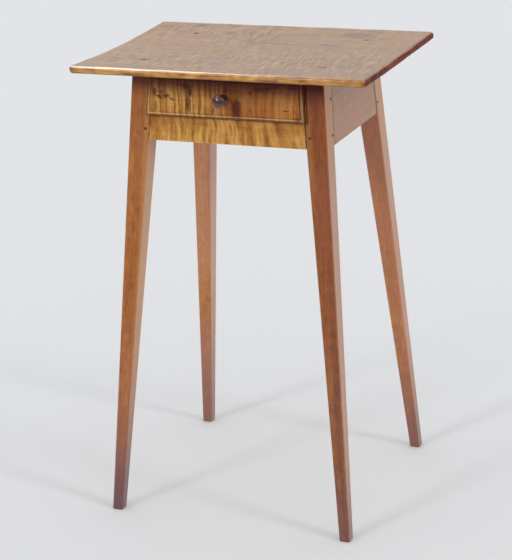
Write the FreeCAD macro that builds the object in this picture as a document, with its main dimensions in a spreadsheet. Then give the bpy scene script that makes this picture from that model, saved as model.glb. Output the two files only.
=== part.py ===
import FreeCAD, Part
from functools import partial
import os
import re
import Sketcher

# A small table with four legs splayed both ways, a cupped overhanging top and one lipped drawer.
# Millimetres. +Z up, the front faces -Y, the origin is on the floor at the middle of the four feet.

# Driving dimensions
sizes = {
    "table_height": 711.0,
    "top_width": 462.0,
    "top_depth": 349.0,
    "top_thickness": 12.0,
    "top_cup": 3.0,                 # the middle of the top lies this much below its long edges
    "top_edge_radius": 5.0,
    "top_seat_gap": 0.1,
    "frame_top_width": 300.0,       # over the legs' outer faces, carried up to the table's height
    "frame_top_depth": 246.0,
    "frame_floor_width": 397.0,     # over the feet
    "frame_floor_depth": 383.0,
    "leg_size": 32.0,
    "foot_size": 16.5,
    "leg_arris": 1.2,               # width of the small flats that break the legs' edges
    "apron_height": 102.0,
    "apron_thickness": 19.0,
    "apron_inset": 0.6,             # behind the legs' outer faces
    "rail_height": 42.0,
    "rail_thickness": 22.0,
    "board_arris_radius": 1.0,
    "tenon_thickness": 8.0,
    "tenon_setback": 6.0,           # from the legs' outer faces
    "tenon_shoulder": 8.0,
    "tenon_haunch": 17.0,
    "tenon_end_gap": 1.0,           # wood between two tenons that meet in a leg
    "joint_gap": 0.15,
    "peg_diameter": 4.5,
    "peg_setback": 6.0,             # from the tenon's shoulder
    "peg_proud": 0.4,
    "top_peg_diameter": 9.0,
    "top_peg_side_inset": 9.0,      # from the legs' outer side faces
    "top_peg_end_inset": 25.0,      # from the legs' outer front and back faces
    "drawer_side_gap": 1.5,
    "drawer_rear_gap": 10.0,
    "drawer_top_gap": 5.0,
    "drawer_run_gap": 0.3,
    "drawer_seat_gap": 0.3,         # between the lip and the legs
    "lip_overlap": 3.5,
    "lip_projection": 7.5,
    "lip_top_gap": 1.0,
    "lip_edge_radius": 5.0,
    "field_relief": 1.5,            # the flat field stands this much above the moulding
    "moulding_width": 7.5,
    "front_thickness": 15.0,        # of the drawer front, behind the legs' front faces
    "front_lap": 5.0,               # wood in front of the half-blind dovetails
    "side_thickness": 9.0,
    "back_thickness": 9.0,
    "bottom_thickness": 7.0,
    "bottom_bevel_width": 22.0,
    "groove_width": 4.0,
    "groove_depth": 4.5,
    "groove_height": 7.0,           # above the drawer sides' lower edges
    "knob_projection": 25.0,
    "knob_face_diameter": 19.0,
    "knob_dome_height": 2.4,
    "knob_rim_chamfer": 1.3,
    "knob_rim_width": 3.0,
    "knob_waist_diameter": 9.5,
    "knob_base_diameter": 16.0,
    "knob_base_thickness": 2.5,
    "knob_tenon_diameter": 8.0,
    "runner_height": 18.0,
    "runner_bearing_width": 4.0,    # past the drawer sides' inner faces
    "guide_height": 14.0,
    "guide_gap": 0.8,
    "nail_diameter": 3.4,           # across the corners of its square shank
    "nail_bite": 12.0,              # into the piece that holds the nail's point
    "cut_overrun": 2.0,
}

# Shares of the sizes that they follow
front_peg_share = 0.40              # of the rail's height
apron_peg_shares = (0.16, 0.68)     # of the aprons' height
top_peg_depth_share = 0.70          # of the tenon's haunch
knob_height_share = 0.475           # of the drawer front's height
peg_flat_count = 8
nail_flat_count = 4
half_share = 0.5                    # of the turn from one flat to the next
tail_count = 3
tail_end_share = 0.74               # of the tails' pitch
tail_root_share = 0.54
runner_nail_shares = (-0.6, 0.6)    # of half the runner's length
bottom_nail_shares = (-0.6, 0.0, 0.6)
waist_share = 0.26                  # of the knob's projection

doc = FreeCAD.newDocument("splay_leg_table")
sheet = doc.addObject("Spreadsheet::Sheet", "Sizes")
for row, (alias, size) in enumerate(sizes.items(), start=1):
    sheet.set(f"A{row}", alias)
    sheet.set(f"B{row}", str(size))
    sheet.setAlias(f"B{row}", alias)
doc.recompute()

# Heights and places worked out from the driving dimensions
underside = "(table_height - top_thickness - top_cup)"
apron_bottom = f"({underside} - apron_height)"
rail_top = f"({apron_bottom} + rail_height)"
tenon_length = "(leg_size - tenon_setback - tenon_thickness - tenon_end_gap)"
apron_tenon = (f"({apron_bottom} + tenon_shoulder)", f"({underside} - tenon_haunch)")
rail_tenon = (f"({apron_bottom} + tenon_shoulder)", f"({rail_top} - tenon_shoulder)")
peg_length = "(leg_size - peg_setback - peg_diameter)"
cup_radius = "(top_depth ^ 2 / (8 * top_cup) + top_cup / 2)"
front_splay = "atan((frame_floor_depth - frame_top_depth) / 2 / table_height)"
box_bottom = f"({rail_top} + drawer_run_gap)"
box_top = f"({underside} - drawer_top_gap)"
lip_bottom = f"({rail_top} - lip_overlap)"
lip_top = f"({underside} - lip_top_gap)"
groove_bottom = f"({box_bottom} + groove_height)"
groove_top = f"({groove_bottom} + groove_width)"
panel_top = f"({groove_top} - joint_gap)"
panel_edge = f"({groove_bottom} + joint_gap)"
panel_bottom = f"({panel_top} - bottom_thickness)"
knob_height = f"({lip_bottom} + {knob_height_share} * ({lip_top} - {lip_bottom}))"
face_inset = "(-drawer_seat_gap - lip_projection - field_relief)"
panel_front_inset = "(front_thickness - groove_depth)"


def half_width(height):
    return f"((frame_floor_width + (frame_top_width - frame_floor_width) * {height} / table_height) / 2)"


def half_depth(height):
    return f"((frame_floor_depth + (frame_top_depth - frame_floor_depth) * {height} / table_height) / 2)"


def from_side(side, inset, height):
    return f"({side} * ({half_width(height)} - ({inset})))"


def from_end(end, inset, height):
    return f"({end} * ({half_depth(height)} - ({inset})))"


box_half_width = f"({half_width(box_top)} - leg_size - drawer_side_gap)"
box_half_inside = f"({box_half_width} - side_thickness)"
box_sides = (f"-{box_half_width}", box_half_width)
box_end = from_end(1, "apron_inset + apron_thickness + drawer_rear_gap", underside)
knob_seat = from_end(-1, face_inset, knob_height)


def in_sheet(expression):
    return re.sub(r"\b[a-z]+(?:_[a-z]+)+\b", lambda found: f"Sizes.{found.group()}", expression)


def value(expression):
    return float(sheet.evalExpression(in_sheet(expression)))


# Sketches, whose points are tied to the sheet
def new_body(label):
    body = doc.addObject("PartDesign::Body", label)
    body.Label = label
    return body


def origin_feature(body, role):
    return next(feature for feature in body.Origin.OriginFeatures if feature.Role == role)


def new_sketch(body, plane, offset):
    sketch = body.newObject("Sketcher::SketchObject", "Sketch")
    sketch.AttachmentSupport = [(origin_feature(body, plane), "")]
    sketch.MapMode = "FlatFace"
    sketch.setExpression("AttachmentOffset.Base.z", in_sheet(offset))
    return sketch


def tie(sketch, constraint, expression):
    index = sketch.addConstraint(constraint)
    sketch.setExpression(f"Constraints[{index}]", in_sheet(expression))


def tie_point(sketch, geometry, point, across, up):
    for kind, axis, expression in (("DistanceX", -2, across), ("DistanceY", -1, up)):
        if expression == "0":
            sketch.addConstraint(Sketcher.Constraint("PointOnObject", geometry, point, axis))
        else:
            distance = Sketcher.Constraint(kind, -1, 1, geometry, point, value(expression))
            tie(sketch, distance, expression)


def bulge(start, end, radius, turn):
    chord = end - start
    sagitta = radius - (radius ** 2 - (chord.Length / 2) ** 2) ** 0.5
    normal = FreeCAD.Vector(chord.y, -chord.x, 0).normalize()
    return (start + end) / 2 + normal * sagitta * turn


def draw(sketch, corners, bends=None):
    # A closed outline; bends gives (radius, turn) of each edge that is an arc, by its first corner
    bends = bends or {}
    points = [FreeCAD.Vector(value(across), value(up), 0) for across, up in corners]
    first = sketch.GeometryCount
    starts, ends = [], []
    for number, start in enumerate(points):
        end = points[(number + 1) % len(points)]
        edge = Part.LineSegment(start, end)
        if number in bends:
            radius, turn = bends[number]
            edge = Part.Arc(start, bulge(start, end, value(radius), turn), end)
        index = sketch.addGeometry(edge)
        forward = sketch.getPoint(index, 1).isEqual(start, value("joint_gap"))
        starts.append((index, 1 if forward else 2))
        ends.append((index, 2 if forward else 1))
    for number, (across, up) in enumerate(corners):
        sketch.addConstraint(Sketcher.Constraint("Coincident", *ends[number - 1], *starts[number]))
        tie_point(sketch, *starts[number], across, up)
    for number, (radius, turn) in bends.items():
        tie(sketch, Sketcher.Constraint("Radius", first + number, value(radius)), radius)


def draw_polygon(sketch, across, up, diameter, flats):
    # A hole in the shape of the peg or nail that is driven into it
    radius = f"({diameter} + 2 * joint_gap) / 2"
    corners = []
    for corner in range(flats):
        turn = 360 * (corner + half_share) / flats
        corners.append((f"{across} + {radius} * cos({turn})", f"{up} + {radius} * sin({turn})"))
    draw(sketch, corners)


def draw_circle(sketch, across, up, diameter):
    centre = FreeCAD.Vector(value(across), value(up), 0)
    index = sketch.addGeometry(Part.Circle(centre, FreeCAD.Vector(0, 0, 1), value(diameter) / 2))
    tie_point(sketch, index, 3, across, up)
    tie(sketch, Sketcher.Constraint("Diameter", index, value(diameter)), diameter)


def rectangle(body, height, x_places, y_places):
    x_low, x_high = sorted(x_places, key=value)
    y_low, y_high = sorted(y_places, key=value)
    sketch = new_sketch(body, "XY_Plane", height)
    draw(sketch, [(x_low, y_low), (x_high, y_low), (x_high, y_high), (x_low, y_high)])
    return sketch


def eased_rectangle(body, height, x_places, y_places, ease):
    x_low, x_high = sorted(x_places, key=value)
    y_low, y_high = sorted(y_places, key=value)
    corners = [(f"{x_low} + {ease}", y_low), (f"{x_high} - {ease}", y_low)]
    corners += [(x_high, f"{y_low} + {ease}"), (x_high, f"{y_high} - {ease}")]
    corners += [(f"{x_high} - {ease}", y_high), (f"{x_low} + {ease}", y_high)]
    corners += [(x_low, f"{y_high} - {ease}"), (x_low, f"{y_low} + {ease}")]
    sketch = new_sketch(body, "XY_Plane", height)
    draw(sketch, corners)
    return sketch


# Features, each checked for the wood that it adds or takes away
def built(body, feature, sign):
    before = 0 if body.Shape.isNull() else body.Shape.Volume
    doc.recompute()
    if not body.Shape.isValid() or (body.Shape.Volume - before) * sign <= 0:
        raise RuntimeError(f"{body.Label}: {feature.Name} failed")
    return feature


def pad(body, sketch, length, symmetric=False, reverse=False):
    feature = body.newObject("PartDesign::Pad", "Pad")
    feature.Profile = sketch
    feature.SideType = "Symmetric" if symmetric else "One side"
    feature.Reversed = reverse
    feature.setExpression("Length", in_sheet(length))
    return built(body, feature, 1)


def pocket(body, sketch, length=None, symmetric=False, reverse=False):
    # With no length it goes through the piece both ways
    feature = body.newObject("PartDesign::Pocket", "Pocket")
    feature.Profile = sketch
    feature.SideType = "Symmetric" if symmetric or length is None else "One side"
    feature.Reversed = reverse
    if length is None:
        feature.Type = "ThroughAll"
    else:
        feature.setExpression("Length", in_sheet(length))
    return built(body, feature, -1)


def loft(body, sections):
    feature = body.newObject("PartDesign::AdditiveLoft", "Loft")
    feature.Profile = sections[0]
    feature.Sections = sections[1:]
    feature.Ruled = True
    return built(body, feature, 1)


def wedge(body, low, high, places, cut=False):
    # A block between two level rectangles; places gives the x and y edges of the one at a height
    kind = "PartDesign::SubtractiveWedge" if cut else "PartDesign::AdditiveWedge"
    feature = body.newObject(kind, "Wedge")
    feature.AttachmentSupport = [(origin_feature(body, "XY_Plane"), "")]
    feature.MapMode = "FlatFace"
    stood_up = FreeCAD.Rotation(FreeCAD.Vector(0, 0, 1), FreeCAD.Vector(0, -1, 0))
    feature.AttachmentOffset = FreeCAD.Placement(FreeCAD.Vector(), stood_up)
    edges = {"Ymin": low, "Ymax": high}
    for level, height in (("", low), ("2", high)):
        x_places, y_places = places(height)
        edges[f"X{level}min"], edges[f"X{level}max"] = sorted(x_places, key=value)
        y_low, y_high = sorted(y_places, key=value)
        edges[f"Z{level}min"], edges[f"Z{level}max"] = f"-{y_high}", f"-{y_low}"
    for name, expression in edges.items():
        feature.setExpression(name, in_sheet(expression))
    return built(body, feature, -1 if cut else 1)


def fillet(body, radius, wanted):
    # Rounds the edges of the body's last feature that wanted picks
    base = body.Tip
    feature = body.newObject("PartDesign::Fillet", "Fillet")
    edges = enumerate(base.Shape.Edges, start=1)
    feature.Base = (base, [f"Edge{number}" for number, edge in edges if wanted(edge.BoundBox)])
    feature.setExpression("Radius", in_sheet(radius))
    return built(body, feature, -1)


def is_lower_arris(box):
    # One of the two long lower edges of an apron or the rail
    is_low = abs(box.ZMax - value(apron_bottom)) < value("joint_gap")
    return is_low and box.DiagonalLength > value("leg_size")


# The cupped underside of the top, to which the legs and aprons are scribed
def across_top(low, high):
    front, back = "-top_depth / 2", "top_depth / 2"
    return [(front, low), (back, low), (back, high), (front, high)]


def scribe_to_top(body):
    sketch = new_sketch(body, "YZ_Plane", "0")
    seat = "(table_height - top_thickness - top_seat_gap)"
    above = "(table_height + cut_overrun)"
    draw(sketch, across_top(seat, above), {0: (cup_radius, 1)})
    pocket(body, sketch)


# Pegs: (axis, side, end, height) of each one, where axis is the way it is driven
def peg_place(axis, side, end, height):
    setback = "leg_size - peg_setback"
    if axis == "X":
        return from_side(side, "-peg_proud", height), from_end(end, setback, height)
    return from_end(end, "-peg_proud", height), from_side(side, setback, height)


def peg_hole(body, axis, side, end, height):
    # The sketch stands just outside the leg and the hole goes in from there
    face, along = peg_place(axis, side, end, height)
    outward = side if axis == "X" else end
    plane = "YZ_Plane" if axis == "X" else "XZ_Plane"
    toward = 1 if axis == "X" else -1
    sketch = new_sketch(body, plane, f"{toward} * {face}")
    draw_polygon(sketch, along, height, "peg_diameter", peg_flat_count)
    pocket(body, sketch, f"{peg_length} + peg_proud + joint_gap", reverse=outward * toward < 0)


def bar(flats, diameter, length, place, along):
    # A whittled peg or a cut nail
    upward = FreeCAD.Vector(0, 0, 1)
    prism = doc.addObject("Part::Prism", "Bar")
    prism.Polygon = flats
    half_turn = FreeCAD.Rotation(upward, 360 * half_share / flats)
    prism.Placement.Rotation = FreeCAD.Rotation(upward, along) * half_turn
    prism.setExpression("Circumradius", in_sheet(f"{diameter} / 2"))
    prism.setExpression("Height", in_sheet(length))
    for axis, expression in zip("xyz", place):
        prism.setExpression(f"Placement.Base.{axis}", in_sheet(expression))
    return prism


def group(label, members):
    compound = doc.addObject("Part::Compound", label)
    compound.Label = label
    compound.Links = members
    doc.recompute()
    return compound


def peg_group(label, pegs):
    members = []
    for axis, side, end, height in pegs:
        face, along = peg_place(axis, side, end, height)
        place = (face, along, height) if axis == "X" else (along, face, height)
        inward = FreeCAD.Vector(-side, 0, 0) if axis == "X" else FreeCAD.Vector(0, -end, 0)
        members.append(bar(peg_flat_count, "peg_diameter", f"{peg_length} + peg_proud", place, inward))
    return group(label, members)


apron_peg_heights = [f"({apron_bottom} + {share} * apron_height)" for share in apron_peg_shares]
front_peg_height = f"({apron_bottom} + {front_peg_share} * rail_height)"
sides = {"left": -1, "right": 1}
ends = {"front": -1, "back": 1}


def cross_pegs(side, end):
    # Pegs through the tenons of the front rail or the back apron
    heights = [front_peg_height] if end < 0 else apron_peg_heights
    return [("Y", side, end, height) for height in heights]


def side_pegs(side, end):
    return [("X", side, end, height) for height in apron_peg_heights]


# Places of the pegs that hold the top down on the legs
def top_peg_place(side, end):
    return from_side(side, "top_peg_side_inset", underside), from_end(end, "top_peg_end_inset", underside)


top_peg_bottom = f"({underside} - {top_peg_depth_share} * tenon_haunch)"


def top_peg_hole(body, side, end):
    sketch = new_sketch(body, "XY_Plane", f"{top_peg_bottom} - joint_gap")
    draw_polygon(sketch, *top_peg_place(side, end), "top_peg_diameter", peg_flat_count)
    pocket(body, sketch, "tenon_haunch + top_cup + top_thickness + cut_overrun", reverse=True)


# Legs: straight outside, tapered on the two inner faces from the aprons down, with eased arrises
def leg_places(side, end, x_insets, y_insets):
    # The x and y edges, at a height, of a block that follows the outer faces of one leg
    def places(height):
        x_places = [from_side(side, inset, height) for inset in x_insets]
        y_places = [from_end(end, inset, height) for inset in y_insets]
        return x_places, y_places
    return places


def leg(label, side, end):
    body = new_body(label)
    sections = []
    for height, near, far in (
        ("0", "leg_arris", "foot_size - leg_arris"),
        ("leg_arris", "0", "foot_size"),
        (apron_bottom, "0", "leg_size"),
        ("table_height", "0", "leg_size"),
    ):
        x_places, y_places = leg_places(side, end, (near, far), (near, far))(height)
        sections.append(eased_rectangle(body, height, x_places, y_places, "leg_arris"))
    loft(body, sections)
    mouth = ("leg_size + cut_overrun", f"leg_size - {tenon_length} - joint_gap")
    cheeks = ("tenon_setback - joint_gap", "tenon_setback + tenon_thickness + joint_gap")
    cross_tenon = rail_tenon if end < 0 else apron_tenon
    for (low, high), x_insets, y_insets in ((apron_tenon, cheeks, mouth), (cross_tenon, mouth, cheeks)):
        mortise = leg_places(side, end, x_insets, y_insets)
        wedge(body, f"({low} - joint_gap)", f"({high} + joint_gap)", mortise, cut=True)
    for peg in cross_pegs(side, end) + side_pegs(side, end):
        peg_hole(body, *peg)
    scribe_to_top(body)
    top_peg_hole(body, side, end)
    return body


# Aprons and the rail: boards in the plane of the legs' outer faces, with a tenon at each end
def board(label, top, tenon, thickness, places, pegs):
    body = new_body(label)
    faces = ("apron_inset", f"apron_inset + {thickness}")
    wedge(body, apron_bottom, top, places(faces, "leg_size"))
    fillet(body, "board_arris_radius", is_lower_arris)
    cheeks = ("tenon_setback", "tenon_setback + tenon_thickness")
    wedge(body, *tenon, places(cheeks, f"leg_size - {tenon_length}"))
    for peg in pegs:
        peg_hole(body, *peg)
    return body


def side_places(side, faces, shoulder):
    # The x and y edges, at a height, of a board along a side, from the insets of its faces and its ends
    def places(height):
        x_places = [from_side(side, inset, height) for inset in faces]
        y_places = [from_end(end, shoulder, height) for end in ends.values()]
        return x_places, y_places
    return places


def cross_places(end, faces, shoulder):
    # The same for a board along the front or the back
    def places(height):
        x_places = [from_side(side, shoulder, height) for side in sides.values()]
        y_places = [from_end(end, inset, height) for inset in faces]
        return x_places, y_places
    return places


# Top: one cupped board with rounded edges
def top_board(label):
    body = new_body(label)
    sketch = new_sketch(body, "YZ_Plane", "0")
    outline = across_top("table_height - top_thickness", "table_height")
    draw(sketch, outline, {0: (cup_radius, 1), 2: (cup_radius, -1)})
    pad(body, sketch, "top_width", symmetric=True)
    fillet(body, "top_edge_radius", lambda box: max(box.XLength, box.YLength) > value("leg_size"))
    for side in sides.values():
        for end in ends.values():
            top_peg_hole(body, side, end)
    return body


def top_pegs(label):
    pegs = []
    for side in sides.values():
        for end in ends.values():
            x_place, y_place = top_peg_place(side, end)
            surface = f"(table_height - top_cup * (1 - (2 * {y_place} / top_depth) ^ 2))"
            length = f"{surface} + peg_proud - {top_peg_bottom}"
            place = (x_place, y_place, top_peg_bottom)
            pegs.append(bar(peg_flat_count, "top_peg_diameter", length, place, FreeCAD.Vector(0, 0, 1)))
    return group(label, pegs)


# Runners that carry the drawer and guides that keep it straight, against the side aprons
runner_inner = f"({box_half_inside} - runner_bearing_width)"
runner_bottom = f"({rail_top} - runner_height)"
guide_inner = f"({box_half_width} + guide_gap)"
guide_top = f"({rail_top} + guide_height)"
runner_nail_height = f"({rail_top} - runner_height / 2)"
runner_half_length = f"({half_depth(rail_top)} - leg_size)"
apron_back = "apron_inset + apron_thickness"
runner_nail_length = f"({from_side(1, apron_back, runner_nail_height)} + nail_bite - {runner_inner})"


def apron_strip(label, side, low, high, inner):
    def places(height):
        x_places, y_places = side_places(side, [apron_back], "leg_size")(height)
        return x_places + [f"({side} * {inner})"], y_places
    body = new_body(label)
    wedge(body, low, high, places)
    return body


def runner_nail_holes(body, side):
    sketch = new_sketch(body, "YZ_Plane", f"{side} * {runner_inner}")
    for share in runner_nail_shares:
        along = f"{share} * {runner_half_length}"
        draw_polygon(sketch, along, runner_nail_height, "nail_diameter", nail_flat_count)
    pocket(body, sketch, f"{runner_nail_length} + joint_gap", reverse=side > 0)


def runner_nails(label):
    nails = []
    for side in sides.values():
        for share in runner_nail_shares:
            place = (f"{side} * {runner_inner}", f"{share} * {runner_half_length}", runner_nail_height)
            outward = FreeCAD.Vector(side, 0, 0)
            nails.append(bar(nail_flat_count, "nail_diameter", runner_nail_length, place, outward))
    return group(label, nails)


# Dovetails of the drawer: half-blind in its leaning front, through in its back
def front_line(inset):
    return partial(from_end, ends["front"], inset)


def front_lines(insets, height):
    return [front_line(inset)(height) for inset in insets]


def upright(place):
    return lambda height: place


def tail_outline(middle, stations):
    # Stations are (place, half width) from a tail's root to its end; a place is a function of height
    def edge(sign):
        heights = [f"({middle} {sign} {half})" for place, half in stations]
        return [(place(height), height) for (place, half), height in zip(stations, heights)]
    return edge("-") + edge("+")[::-1]


def tails(low, high, gap):
    pitch = f"(({high} - {low}) / {tail_count})"
    for number in range(tail_count):
        middle = f"({low} + (2 * {number} + 1) * {pitch} / 2)"
        root, end = [f"({share} * {pitch} / 2 + {gap})" for share in (tail_root_share, tail_end_share)]
        yield middle, root, end


back_front = f"({box_end} - back_thickness)"


def drawer_side(label, side):
    body = new_body(label)
    sketch = new_sketch(body, "YZ_Plane", f"{side} * {box_half_inside}")
    shoulder = front_line("front_thickness")
    corners = [(shoulder(box_bottom), box_bottom)]
    for middle, root, end in tails(box_bottom, box_top, "0"):
        corners += tail_outline(middle, [(shoulder, root), (front_line("front_lap"), end)])
    corners += [(shoulder(box_top), box_top), (back_front, box_top)]
    for middle, root, end in reversed(list(tails(groove_top, box_top, "0"))):
        corners += reversed(tail_outline(middle, [(upright(back_front), root), (upright(box_end), end)]))
    corners += [(back_front, groove_top), (box_end, groove_top), (box_end, box_bottom)]
    draw(sketch, corners)
    pad(body, sketch, "side_thickness", reverse=side < 0)
    groove = new_sketch(body, "XZ_Plane", "0")
    inner = f"{side} * ({box_half_inside} - cut_overrun)"
    outer = f"{side} * ({box_half_inside} + groove_depth)"
    draw(groove, [(inner, groove_bottom), (outer, groove_bottom), (outer, groove_top), (inner, groove_top)])
    pocket(body, groove)
    return body


def drawer_front(label):
    body = new_body(label)
    lip_inset = "(leg_size - lip_overlap)"
    lip_front = "(-drawer_seat_gap - lip_projection)"
    field_edge = f"{lip_inset} + moulding_width"
    leaning_slab(body, lip_bottom, lip_top, lip_inset, ("-drawer_seat_gap", lip_front))
    fillet(body, "lip_edge_radius", lambda box: lies_on_front(box.Center, lip_front))
    field_bottom, field_top = f"({lip_bottom} + moulding_width)", f"({lip_top} - moulding_width)"
    leaning_slab(body, field_bottom, field_top, field_edge, ("-drawer_seat_gap", face_inset))
    block_faces = ("-drawer_seat_gap - lip_projection / 2", "front_thickness")
    wedge(body, box_bottom, box_top, lambda height: (box_sides, front_lines(block_faces, height)))
    for side in sides.values():
        sockets = new_sketch(body, "YZ_Plane", f"{side} * ({box_half_inside} - joint_gap)")
        for middle, root, end in tails(box_bottom, box_top, "joint_gap"):
            mouth = front_line("front_thickness + cut_overrun")
            floor = front_line("front_lap - joint_gap")
            draw(sockets, tail_outline(middle, [(mouth, root), (floor, end)]))
        pocket(body, sockets, "side_thickness + cut_overrun", reverse=side > 0)
    groove = new_sketch(body, "YZ_Plane", "0")
    root, mouth = front_lines((panel_front_inset, "front_thickness + cut_overrun"), groove_bottom)
    draw(groove, [(root, groove_bottom), (mouth, groove_bottom), (mouth, groove_top), (root, groove_top)])
    pocket(body, groove, f"2 * ({box_half_inside} + groove_depth)", symmetric=True)
    bore = new_sketch(body, "XZ_Plane", "0")
    lean(bore, "AttachmentOffset")
    bore.setExpression("AttachmentOffset.Base.y", in_sheet(knob_height))
    bore.setExpression("AttachmentOffset.Base.z", in_sheet(f"-{knob_seat}"))
    draw_circle(bore, "0", "0", "knob_tenon_diameter + 2 * joint_gap")
    pocket(body, bore)
    return body


def leaning_slab(body, low, high, side_inset, faces):
    # A slab parallel to the legs' front faces, with its ends parallel to the legs
    wedge(body, low, high, cross_places(ends["front"], faces, side_inset))


def lies_on_front(point, inset):
    return abs(point.y - value(front_line(inset)(point.z))) < value("joint_gap")


def lean(target, placement):
    # Tilts a placement back as far as the drawer front leans
    turned = FreeCAD.Rotation(FreeCAD.Vector(-1, 0, 0), value(front_splay))
    setattr(target, placement, FreeCAD.Placement(FreeCAD.Vector(), turned))
    target.setExpression(f"{placement}.Rotation.Angle", in_sheet(front_splay))


def drawer_back(label):
    body = new_body(label)
    sketch = rectangle(body, groove_top, box_sides, (back_front, box_end))
    pad(body, sketch, f"{box_top} - {groove_top}")
    for side in sides.values():
        sockets = new_sketch(body, "YZ_Plane", f"{side} * ({box_half_inside} - joint_gap)")
        for middle, root, end in tails(groove_top, box_top, "joint_gap"):
            stations = [(upright(f"{back_front} - cut_overrun"), root), (upright(back_front), root)]
            stations += [(upright(box_end), end), (upright(f"{box_end} + cut_overrun"), end)]
            draw(sockets, tail_outline(middle, stations))
        pocket(body, sockets, "side_thickness + cut_overrun", reverse=side > 0)
    bottom_nail_holes(body)
    return body


# Bottom of the drawer: a panel bevelled underneath to fit its grooves, slid in from behind
def drawer_panel(label):
    body = new_body(label)
    tongue_half = f"({box_half_inside} + groove_depth - joint_gap)"
    tongue_front = front_line(f"{panel_front_inset} + joint_gap")(groove_bottom)
    tongue = (f"-{tongue_half}", tongue_half), (tongue_front, box_end)
    inside_front = front_line("front_thickness")(groove_bottom)
    inside = (f"-{box_half_inside}", box_half_inside), (inside_front, box_end)
    flat_half = f"({box_half_inside} - bottom_bevel_width)"
    flat = (f"-{flat_half}", flat_half), (f"({inside_front} + bottom_bevel_width)", box_end)
    levels = {panel_bottom: flat, panel_edge: inside}
    wedge(body, panel_bottom, panel_edge, levels.get)
    pad(body, rectangle(body, panel_edge, *tongue), f"{panel_top} - {panel_edge}")
    bottom_nail_holes(body)
    return body


bottom_nail_length = "(bottom_thickness + nail_bite)"
bottom_nail_y = f"({box_end} - back_thickness / 2)"


def bottom_nail_holes(body):
    sketch = new_sketch(body, "XY_Plane", f"{panel_bottom} - joint_gap")
    for share in bottom_nail_shares:
        across = f"{share} * {box_half_inside}"
        draw_polygon(sketch, across, bottom_nail_y, "nail_diameter", nail_flat_count)
    pocket(body, sketch, f"{bottom_nail_length} + 2 * joint_gap", reverse=True)


def bottom_nails(label):
    upward = FreeCAD.Vector(0, 0, 1)
    nails = []
    for share in bottom_nail_shares:
        place = (f"{share} * {box_half_inside}", bottom_nail_y, panel_bottom)
        nails.append(bar(nail_flat_count, "nail_diameter", bottom_nail_length, place, upward))
    return group(label, nails)


# Knob: turned, with a tenon through the drawer front
def drawer_knob(label):
    body = new_body(label)
    lean(body, "Placement")
    body.setExpression("Placement.Base.y", in_sheet(knob_seat))
    body.setExpression("Placement.Base.z", in_sheet(knob_height))
    sketch = new_sketch(body, "XY_Plane", "0")
    tenon_end = f"(field_relief + lip_projection + drawer_seat_gap + front_thickness) * cos({front_splay})"
    rim, rim_edge = "knob_face_diameter / 2", "(knob_face_diameter / 2 - knob_rim_chamfer)"
    dome_back = "(knob_dome_height - knob_projection)"
    band_front = f"({dome_back} + knob_rim_chamfer)"
    band_back = f"({band_front} + knob_rim_width)"
    profile = [("0", tenon_end), ("knob_tenon_diameter / 2", tenon_end), ("knob_tenon_diameter / 2", "0")]
    profile += [("knob_base_diameter / 2", "0"), ("knob_base_diameter / 2", "-knob_base_thickness")]
    profile += [("knob_waist_diameter / 2", f"-{waist_share} * knob_projection")]
    profile += [(rim_edge, f"{band_back} + knob_rim_chamfer"), (rim, band_back), (rim, band_front)]
    profile += [(rim_edge, dome_back), ("0", "-knob_projection")]
    dome_radius = f"({rim_edge} ^ 2 + knob_dome_height ^ 2) / (2 * knob_dome_height)"
    dome = profile.index((rim_edge, dome_back))
    draw(sketch, profile, {dome: (dome_radius, -1)})
    feature = body.newObject("PartDesign::Revolution", "Revolution")
    feature.Profile = sketch
    feature.ReferenceAxis = (origin_feature(body, "Y_Axis"), "")
    built(body, feature, 1)
    return body


# The table
parts = [top_board("top_board"), top_pegs("top_pegs")]
for end_name, end in ends.items():
    for side_name, side in sides.items():
        parts.append(leg(f"leg_{end_name}_{side_name}", side, end))
front_pegs, back_pegs = [cross_pegs(-1, end) + cross_pegs(1, end) for end in ends.values()]
along_front, along_back = [partial(cross_places, end) for end in ends.values()]
front_rail = board("front_rail", rail_top, rail_tenon, "rail_thickness", along_front, front_pegs)
back_apron = board("back_apron", "table_height", apron_tenon, "apron_thickness", along_back, back_pegs)
scribe_to_top(back_apron)
parts += [front_rail, peg_group("front_rail_pegs", front_pegs)]
parts += [back_apron, peg_group("back_apron_pegs", back_pegs)]
for side_name, side in sides.items():
    pegs = side_pegs(side, -1) + side_pegs(side, 1)
    along_side = partial(side_places, side)
    apron = board(f"{side_name}_apron", "table_height", apron_tenon, "apron_thickness", along_side, pegs)
    scribe_to_top(apron)
    runner = apron_strip(f"{side_name}_runner", side, runner_bottom, rail_top, runner_inner)
    for body in (apron, runner):
        runner_nail_holes(body, side)
    guide = apron_strip(f"{side_name}_guide", side, rail_top, guide_top, guide_inner)
    parts += [apron, peg_group(f"{side_name}_apron_pegs", pegs), runner, guide]
parts.append(runner_nails("runner_nails"))

# The drawer
parts.append(drawer_front("drawer_front"))
parts += [drawer_side(f"drawer_{side_name}_side", side) for side_name, side in sides.items()]
parts += [drawer_back("drawer_back"), drawer_panel("drawer_bottom"), bottom_nails("drawer_bottom_nails")]
parts.append(drawer_knob("drawer_knob"))
doc.recompute()

# Nothing is written unless every object is sound
failed = [thing.Label for thing in doc.Objects if "Invalid" in thing.State or "Error" in thing.State]
failed += [part.Label for part in parts if part.Shape.isNull() or not part.Shape.isValid()]
if failed:
    raise RuntimeError("not sound: " + ", ".join(failed))
os.makedirs("parts", exist_ok=True)
for part in parts:
    part.Shape.exportStep(f"parts/{part.Label}.step")
    print(part.Label, len(part.Shape.Solids), round(part.Shape.Volume))
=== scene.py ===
import math

import bmesh
import bpy
from mathutils import Matrix, Vector, noise


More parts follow.
